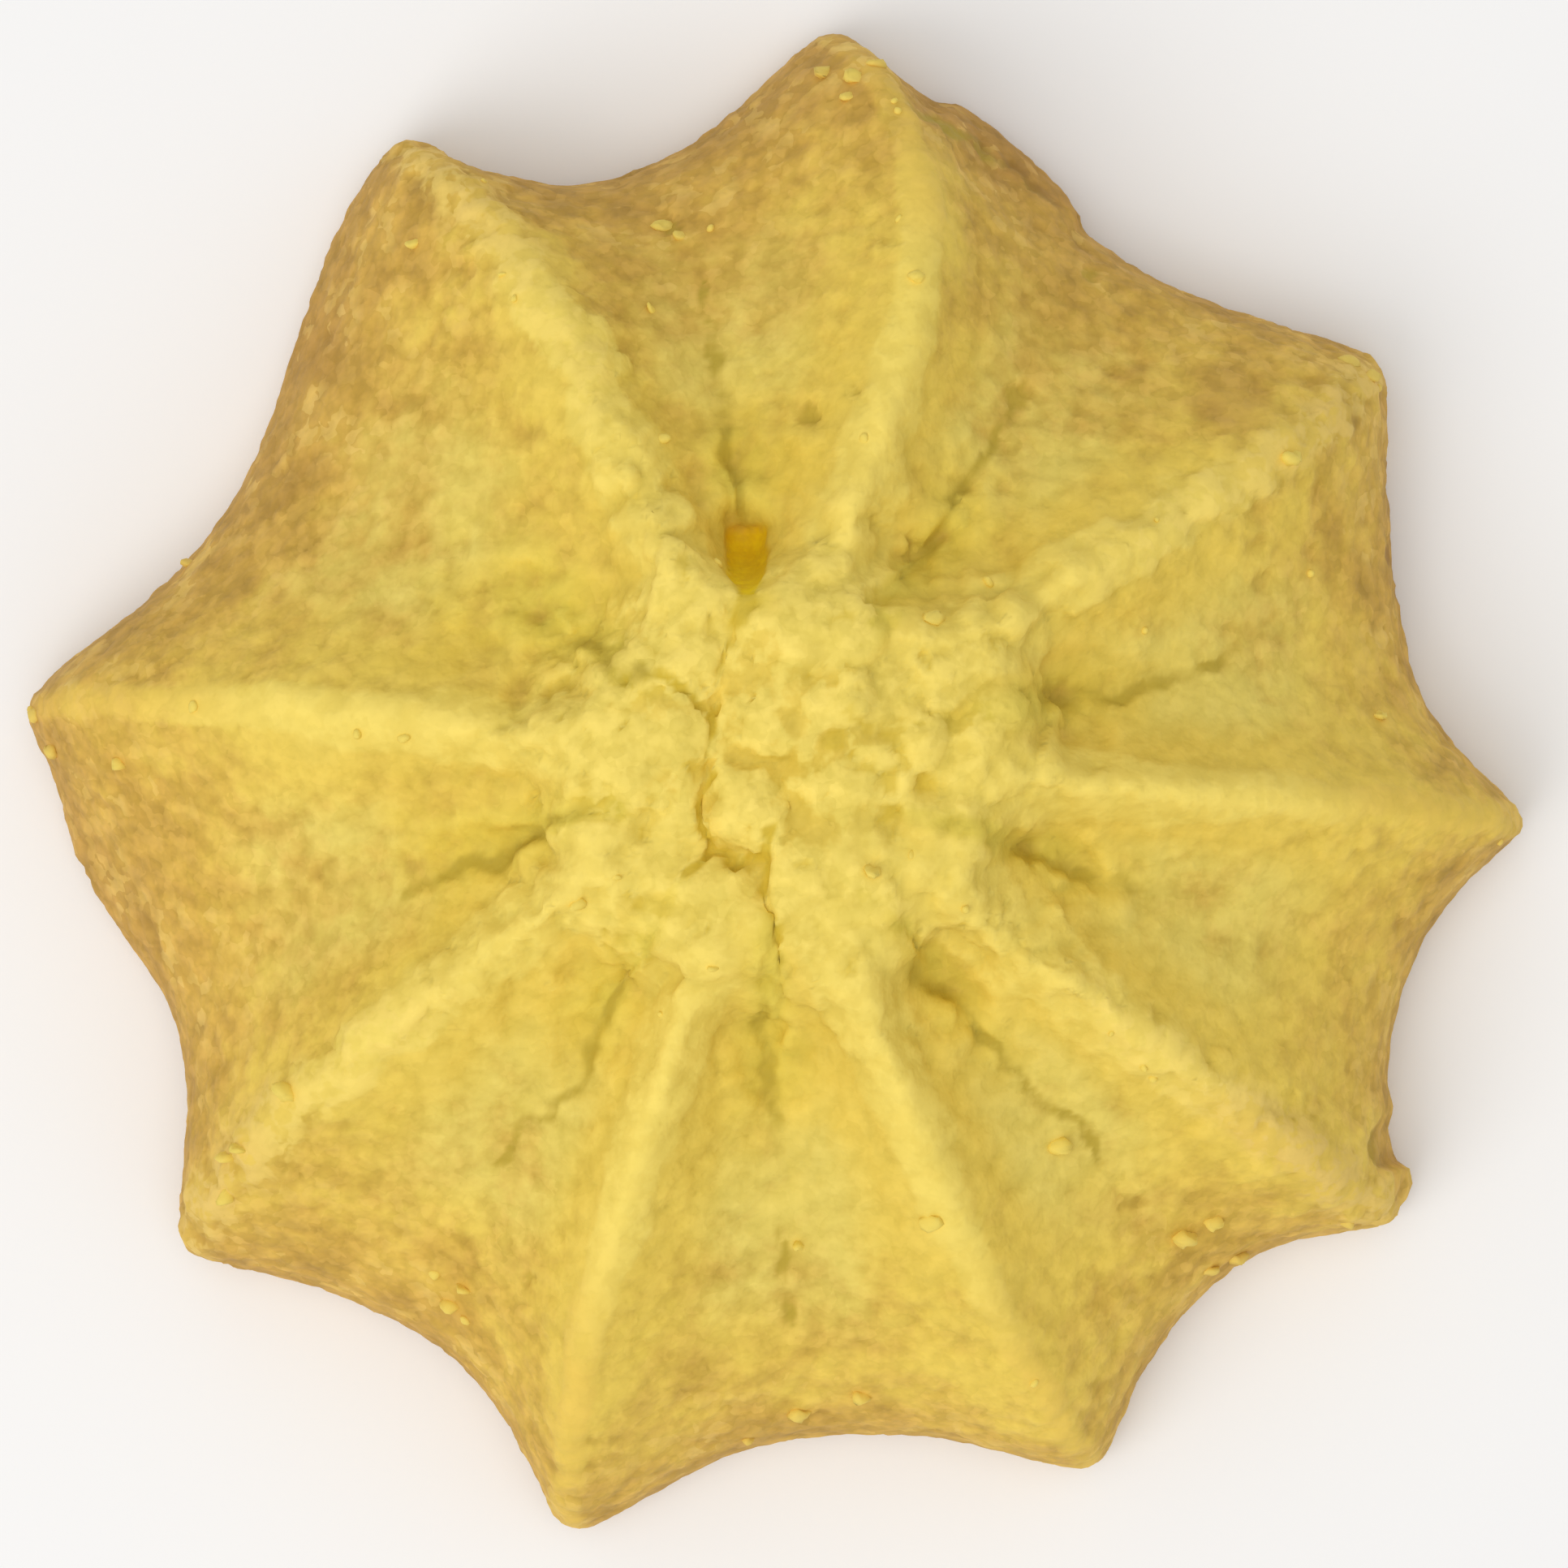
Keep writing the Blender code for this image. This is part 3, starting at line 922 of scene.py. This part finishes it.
def flank_tones(tree, at):
    """Golden flanks, straw valleys, and painted shade, olive, at the valleys' heads."""
    place_across = tree.sum(at.across, tree.product(at.patches, 0.35), tree.product(at.mottle, 0.2))
    belt = tree.product(tree.remap(at.outward, 8.5, 11.0), tree.remap(at.outward, 16.5, 13.5))
    straw = tree.product(tree.remap(place_across, 0.35, 0.7), belt)
    colour = tree.mix_colour(straw, FLANK_GOLD, VALLEY_STRAW)
    hollow = tree.product(tree.remap(place_across, 0.45, 0.95), tree.remap(at.outward, 11.0, 7.0))
    colour = tree.mix_colour(hollow, colour, HOLLOW_YELLOW)
    warm = tree.product(tree.remap(at.dapple, 0.0, 0.16), tree.remap(at.outward, 13.0, 8.0, 0.0, 0.45))
    colour = tree.mix_colour(warm, colour, WARM_GOLD)
    inner = tree.product(tree.remap(at.outward, 10.5, 7.0), tree.remap(at.crown, 0.5, 0.0))
    shaded_head = tree.product(tree.remap(place_across, 0.5, 0.9), inner)
    return tree.mix_colour(tree.product(shaded_head, 0.35), colour, HEAD_SHADE_OLIVE)


def crest_tones(tree, at, colour):
    """Cream along the crests, partly their paler dough and partly painted highlight, and in clumps on the
    crown.
    """
    pale_and_highlight = tree.sum(
        tree.product(at.crest, tree.sum(0.45, tree.product(at.blob, 0.25))),
        tree.product(at.shoulder, 0.34),
        tree.product(at.patches, 0.3),
        tree.product(at.dapple, 0.35),
    )
    # The crown's clumps are painted lighter where they stand proud and darker in the gaps, with random
    # mottle
    clumped_and_lit = tree.sum(tree.product(at.mottle, 0.7), tree.product(at.proud, 1.6))
    pale_and_lit_crown = tree.product(at.crown, tree.remap(clumped_and_lit, -0.12, 0.1, 0.05, 0.9))
    pale_and_highlight = tree.math("MAXIMUM", pale_and_highlight, pale_and_lit_crown)
    cream = tree.mix_colour(tree.remap(at.outward, 13.0, 18.0), CREST_CREAM, CREST_GOLD)
    return tree.mix_colour(tree.remap(pale_and_highlight, 0.05, 0.95), colour, cream)


def foot_tones(tree, at, colour):
    """Browned by the oven near the tray and, as painted shade, in sunk spots, with brown spots, pale
    flecks, and pale clumps at ragged tips.
    """
    colour = tree.mix_colour(tree.remap(at.low, 11.0, 4.5, 0.0, 0.95), colour, RIM_GOLD)
    colour = tree.mix_colour(tree.remap(at.low, 6.5, 0.8, 0.0, 0.95), colour, RIM_TAN)
    colour = tree.mix_colour(at.baked, colour, BAKED_BROWN)
    speckled = tree.sum(tree.product(at.crest, 0.6), tree.remap(at.dapple, -0.05, 0.12, 0.1, 0.6))
    flecks = tree.product(tree.remap(at.grain_tone, 0.6, 0.8), tree.remap(at.low, 9.5, 5.5), speckled)
    flecks = tree.product(flecks, tree.remap(at.height, 1.0, 3.0, 0.2, 0.75))
    colour = tree.mix_colour(flecks, colour, FLECK_CREAM)
    clumps = tree.remap(tree.sum(at.blob, at.grain_tone), 0.2, 0.7, 0.15, 0.9)
    clumps = tree.product(at.ragged, clumps, tree.remap(at.height, 1.5, 5.0, 0.15, 1.0))
    clump_tone = tree.mix_colour(tree.remap(at.outward, 14.0, 18.5), CLUMP_GOLD, FLECK_CREAM)
    return tree.mix_colour(clumps, colour, clump_tone)


def crumb_shades(tree, at, colour):
    """Lighter and darker crumb, mostly at random, with painted shade where the skin is sunk and painted
    light where it stands proud, and yellower where it is darker.
    """
    grainy = tree.remap(at.low, 12.0, 5.0, 0.08, 0.19)
    grainy = tree.sum(grainy, tree.product(at.crest, -0.02), tree.product(at.crown, 0.07))
    shade = tree.sum(
        tree.product(at.mottle, tree.sum(0.25, tree.product(at.crown, -0.1), tree.product(at.crest, -0.1))),
        tree.product(at.dapple, tree.remap(at.low, 10.0, 4.0, 0.05, 0.36)),
        tree.product(at.patches, 0.12),
        tree.product(at.grain, grainy),
        # Painted shade where the skin is sunk and painted light where it stands proud
        tree.remap(at.proud, -0.12, 0.12, -0.09, 0.06),
        1.0,
    )
    blue_shade = tree.math("POWER", shade, 1.8)
    tint = tree.add("ShaderNodeCombineColor", {0: shade, 1: shade, 2: blue_shade}).outputs[0]
    return tree.mix_colour(1.0, colour, tint, "MULTIPLY")


def crack_tones(tree, at, colour):
    """Painted shade in the creases, dents, folds and cracks, and a bright golden hole painted as though lit
    through the dough.
    """
    # Painted shade in creases, dents and folds, olive higher up and brown low down
    crease_shade_tone = tree.mix_colour(tree.remap(at.height, 4.5, 2.5), CREASE_SHADE_OLIVE, CREASE_SHADE_BROWN)
    colour = tree.mix_colour(tree.remap(at.crease, 0.08, 0.8, 0.0, 0.8), colour, crease_shade_tone)
    # Painted shade in the cracks and the crown's hollows and dents
    colour = tree.mix_colour(tree.remap(at.crack, 0.1, 0.9, 0.0, 0.8), colour, CRACK_SHADE_OCHRE)
    # Painted glow of gold in the hole, with painted shadow mixed in at random
    hole_glow = tree.mix_colour(tree.remap(at.mottle, -0.1, 0.15), HOLE_SHADOW, HOLE_GLOW_GOLD)
    return tree.mix_colour(tree.product(at.hole, 0.95), colour, hole_glow)


def dough_material():
    """Baked butter dough: cream crests with painted highlight, golden flanks, straw valleys, a tan rim,
    painted shade in the creases and cracks, and a painted glow of gold in the hole.
    """
    material, tree, shader = new_material("baked_butter_dough")
    at = dough_fields(tree)
    colour = flank_tones(tree, at)
    for layer in (crest_tones, foot_tones, crumb_shades, crack_tones):
        colour = layer(tree, at, colour)
    tree.tree.links.new(colour, shader.inputs["Base Color"])
    tree.tree.links.new(tree.remap(at.mottle, -0.2, 0.2, 0.68, 0.88), shader.inputs["Roughness"])
    shader.inputs["Specular IOR Level"].default_value = DOUGH_SHINE
    grit = tree.sum(tree.product(at.blob, 0.6), at.mottle)
    bump = tree.add("ShaderNodeBump", {"Height": grit, "Strength": 0.5, "Distance": 0.05 * MM}).outputs[0]
    tree.tree.links.new(bump, shader.inputs["Normal"])
    return material


def crumb_material():
    """The crumbs' paler, drier dough, a little browner low down."""
    material, tree, shader = new_material("crumb_dough")
    to_mm = place_in_mm(tree)
    mottle = tree.noise(to_mm, 0.5, 3.0, 0.6)
    height = tree.add("ShaderNodeSeparateXYZ", {0: to_mm}).outputs["Z"]
    browned = tree.remap(tree.sum(height, tree.product(mottle, 6.0)), 12.0, 4.0)
    colour = tree.mix_colour(browned, CREST_CREAM, CRUMB_GOLD)
    tree.tree.links.new(colour, shader.inputs["Base Color"])
    tree.tree.links.new(tree.remap(mottle, 0.3, 0.7, 0.7, 0.9), shader.inputs["Roughness"])
    shader.inputs["Specular IOR Level"].default_value = DOUGH_SHINE
    return material


def floor_material():
    """A matt, nearly white table."""
    material, tree, shader = new_material("pale_table")
    place = tree.add("ShaderNodeTexCoord").outputs["Object"]
    cloud = tree.noise(place, 0.08, 2.0)
    colour = tree.mix_colour(cloud, linear(254, 254, 254), linear(251, 251, 252))
    tree.tree.links.new(colour, shader.inputs["Base Color"])
    shader.inputs["Roughness"].default_value = 0.9
    shader.inputs["Specular IOR Level"].default_value = 0.1
    return material


def relief_guides():
    """The helper objects that the relief tree measures from, by the names of its inputs."""
    sound, ragged = ridge_guides()
    return {
        "Sound crests": sound,
        "Ragged crests": ragged,
        "Valleys": valley_guide(),
        "Creases": wandering_guide("valley_creases", CREASES + FOOT_FOLDS, CREASE_WANDER),
        "Cracks": wandering_guide("crown_cracks", CRACKS, CRACK_WANDER),
        "Hole": hole_guide(),
        "Dents": spot_guide("dents", DENTS),
        "Browned spots": spot_guide("browned_spots", BROWNED_SPOTS),
    }


def make_cookie(solid):
    """The cookie's body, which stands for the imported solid."""
    skin = smooth_skin("cookie_body", solid)
    flatten_base(skin)
    guides = relief_guides()
    run_tree(skin, crumb_relief_tree(guides), {**guides, **RELIEF, "Dough": dough_material()})
    for guide in guides.values():
        bpy.data.objects.remove(guide)
    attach(skin, "root")
    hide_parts("butter_cookie")
    return skin


def clinging_crumbs_tree():
    """Scatters crumbs over a surface, most of them on crests, and sets one on each chosen spot."""
    inputs = (
        ("Spots", "Object"),
        ("Crumbs per square millimetre", "Float"),
        ("Smallest", "Float"),
        ("Largest", "Float"),
        ("Seed", "Int"),
        ("Dough", "Material"),
    )
    tree, feeds, result = geometry_tree("clinging_crumbs", inputs)
    position = tree.add("GeometryNodeInputPosition").outputs[0]
    height = tree.add("ShaderNodeSeparateXYZ", {0: position}).outputs["Z"]
    clear = tree.remap(height, 1.0 * MM, 3.0 * MM)
    gathered = tree.noise(tree.scaled(position, 1.0 / MM), 2.5, 2.0)
    gathered = tree.remap(gathered, 0.45, 0.65)
    likely = tree.sum(0.06, tree.product(named(tree, "crest"), 0.45))
    likely = tree.product(likely, tree.remap(named(tree, "crown"), 0.3, 0.0))
    density = tree.product(feeds["Crumbs per square millimetre"], likely, clear, gathered, 1.0 / MM**2)
    scatter = tree.add("GeometryNodeDistributePointsOnFaces", {
        "Mesh": feeds["Geometry"],
        "Density": density,
        "Seed": feeds["Seed"],
    })

    small = tree.math("POWER", tree.random(0.0, 1.0, SIZE_SEED), 2.0)
    reach = tree.math("SUBTRACT", feeds["Largest"], feeds["Smallest"])
    size = tree.sum(feeds["Smallest"], tree.product(small, reach))
    sized = stored(tree, scatter.outputs["Points"], "size", size)
    spots = tree.add("GeometryNodeObjectInfo", {"Object": feeds["Spots"]}).outputs["Geometry"]
    spot_points = tree.add("GeometryNodeMeshToPoints", {"Mesh": spots}).outputs[0]
    join = tree.add("GeometryNodeJoinGeometry")
    tree.tree.links.new(sized, join.inputs[0])
    tree.tree.links.new(spot_points, join.inputs[0])

    ball = tree.add("GeometryNodeMeshUVSphere", {"Radius": 0.5 * MM, "Segments": 9, "Rings": 6})
    turn = tree.random((0.0, 0.0, 0.0), (math.tau, math.tau, math.tau), TURN_SEED, "FLOAT_VECTOR")
    stretch = tree.random(LEAST_STRETCH, MOST_STRETCH, STRETCH_SEED, "FLOAT_VECTOR")
    scale = tree.scaled(stretch, named(tree, "size"))
    crumbs = tree.add("GeometryNodeInstanceOnPoints", {
        "Points": join.outputs[0],
        "Instance": ball.outputs["Mesh"],
        "Rotation": turn,
        "Scale": scale,
    })
    geometry = tree.add("GeometryNodeRealizeInstances", {"Geometry": crumbs.outputs[0]}).outputs[0]
    uneven = {"Vector": tree.scaled(position, 1.0 / MM), "Scale": 3.0, "Detail": 1.0}
    dent = tree.add("ShaderNodeTexNoise", uneven).outputs["Color"]
    dent = tree.vector("SUBTRACT", dent, (0.5, 0.5, 0.5)).outputs[0]
    push = tree.scaled(dent, tree.product(named(tree, "size"), CRUMB_DENT))
    geometry = tree.add("GeometryNodeSetPosition", {"Geometry": geometry, "Offset": push}).outputs[0]
    geometry = tree.add("GeometryNodeSetShadeSmooth", {"Geometry": geometry}).outputs[0]
    finish = {"Geometry": geometry, "Material": feeds["Dough"]}
    geometry = tree.add("GeometryNodeSetMaterial", finish).outputs[0]
    tree.tree.links.new(geometry, result)
    return tree


def crumb_guide(body):
    """A helper object with one point for each chosen crumb, laid on the body's surface."""
    surface = BVHTree.FromObject(body, bpy.context.evaluated_depsgraph_get())
    points = []
    sizes = []
    for x, y, size in CRUMB_SPOTS:
        above = Vector((CROWN_MIDDLE[0] + x * MM, CROWN_MIDDLE[1] + y * MM, 0.1))
        hit = surface.ray_cast(above, Vector((0.0, 0.0, -1.0)))[0]
        if hit is not None:
            points.append(hit)
            sizes.append(size)
    mesh = bpy.data.meshes.new("crumb_spots")
    mesh.from_pydata(points, [], [])
    mesh.attributes.new("size", "FLOAT", "POINT").data.foreach_set("value", sizes)
    return add_piece("crumb_spots", mesh)


def scatter_crumbs(body):
    """The small crumbs that cling to the cookie, all in one piece."""
    crumbs = add_piece("clinging_crumbs", body.data.copy())
    spots = crumb_guide(body)
    run_tree(crumbs, clinging_crumbs_tree(), {
        "Spots": spots,
        "Dough": crumb_material(),
        **CRUMBS,
    })
    bpy.data.objects.remove(spots)
    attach(crumbs, "root")


def add_floor():
    """The table that the cookie lies on."""
    mesh = bmesh.new()
    bmesh.ops.create_grid(mesh, x_segments=2, y_segments=2, size=TABLE_HALF_WIDTH)
    for vertex in mesh.verts:
        vertex.co.z = TABLE_LEVEL
    data = bpy.data.meshes.new("table")
    mesh.to_mesh(data)
    mesh.free()
    data.materials.append(floor_material())
    floor = add_piece("table", data)


def add_lamp(name, place, size, power, colour):
    """A round area lamp that faces the cookie."""
    data = bpy.data.lights.new(name, "AREA")
    data.shape = "DISK"
    data.size = size
    data.energy = power
    data.color = colour
    lamp = bpy.data.objects.new(name, data)
    lamp.location = place
    lamp.rotation_euler = (-Vector(place)).to_track_quat("-Z", "Y").to_euler()
    bpy.context.scene.collection.objects.link(lamp)


def light_studio():
    """An even white sky and the lamps."""
    scene = bpy.context.scene
    scene.view_settings.view_transform = "Standard"
    world = bpy.data.worlds.new("studio")
    world.use_nodes = True
    background = world.node_tree.nodes["Background"]
    background.inputs["Color"].default_value = (1.0, 1.0, 1.0, 1.0)
    background.inputs["Strength"].default_value = SKY_STRENGTH
    scene.world = world
    for lamp in LAMPS:
        add_lamp(*lamp)


def add_camera():
    """A long lens straight above, which takes in the photograph's frame."""
    data = bpy.data.cameras.new("above")
    data.lens = LENS
    data.sensor_width = SENSOR
    data.clip_start = 0.01
    data.clip_end = 10.0
    camera = bpy.data.objects.new("above", data)
    camera.location = (*FRAME_MIDDLE, RIM_PLANE + FRAME_WIDTH * LENS / SENSOR)
    bpy.context.scene.collection.objects.link(camera)
    bpy.context.scene.camera = camera


def main():
    """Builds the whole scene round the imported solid."""
    for leftover in list(bpy.data.objects):
        bpy.data.objects.remove(leftover)
    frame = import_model()
    body = make_cookie(frame["nodes"]["butter_cookie"])
    scatter_crumbs(body)
    add_floor()
    light_studio()
    add_camera()


main()
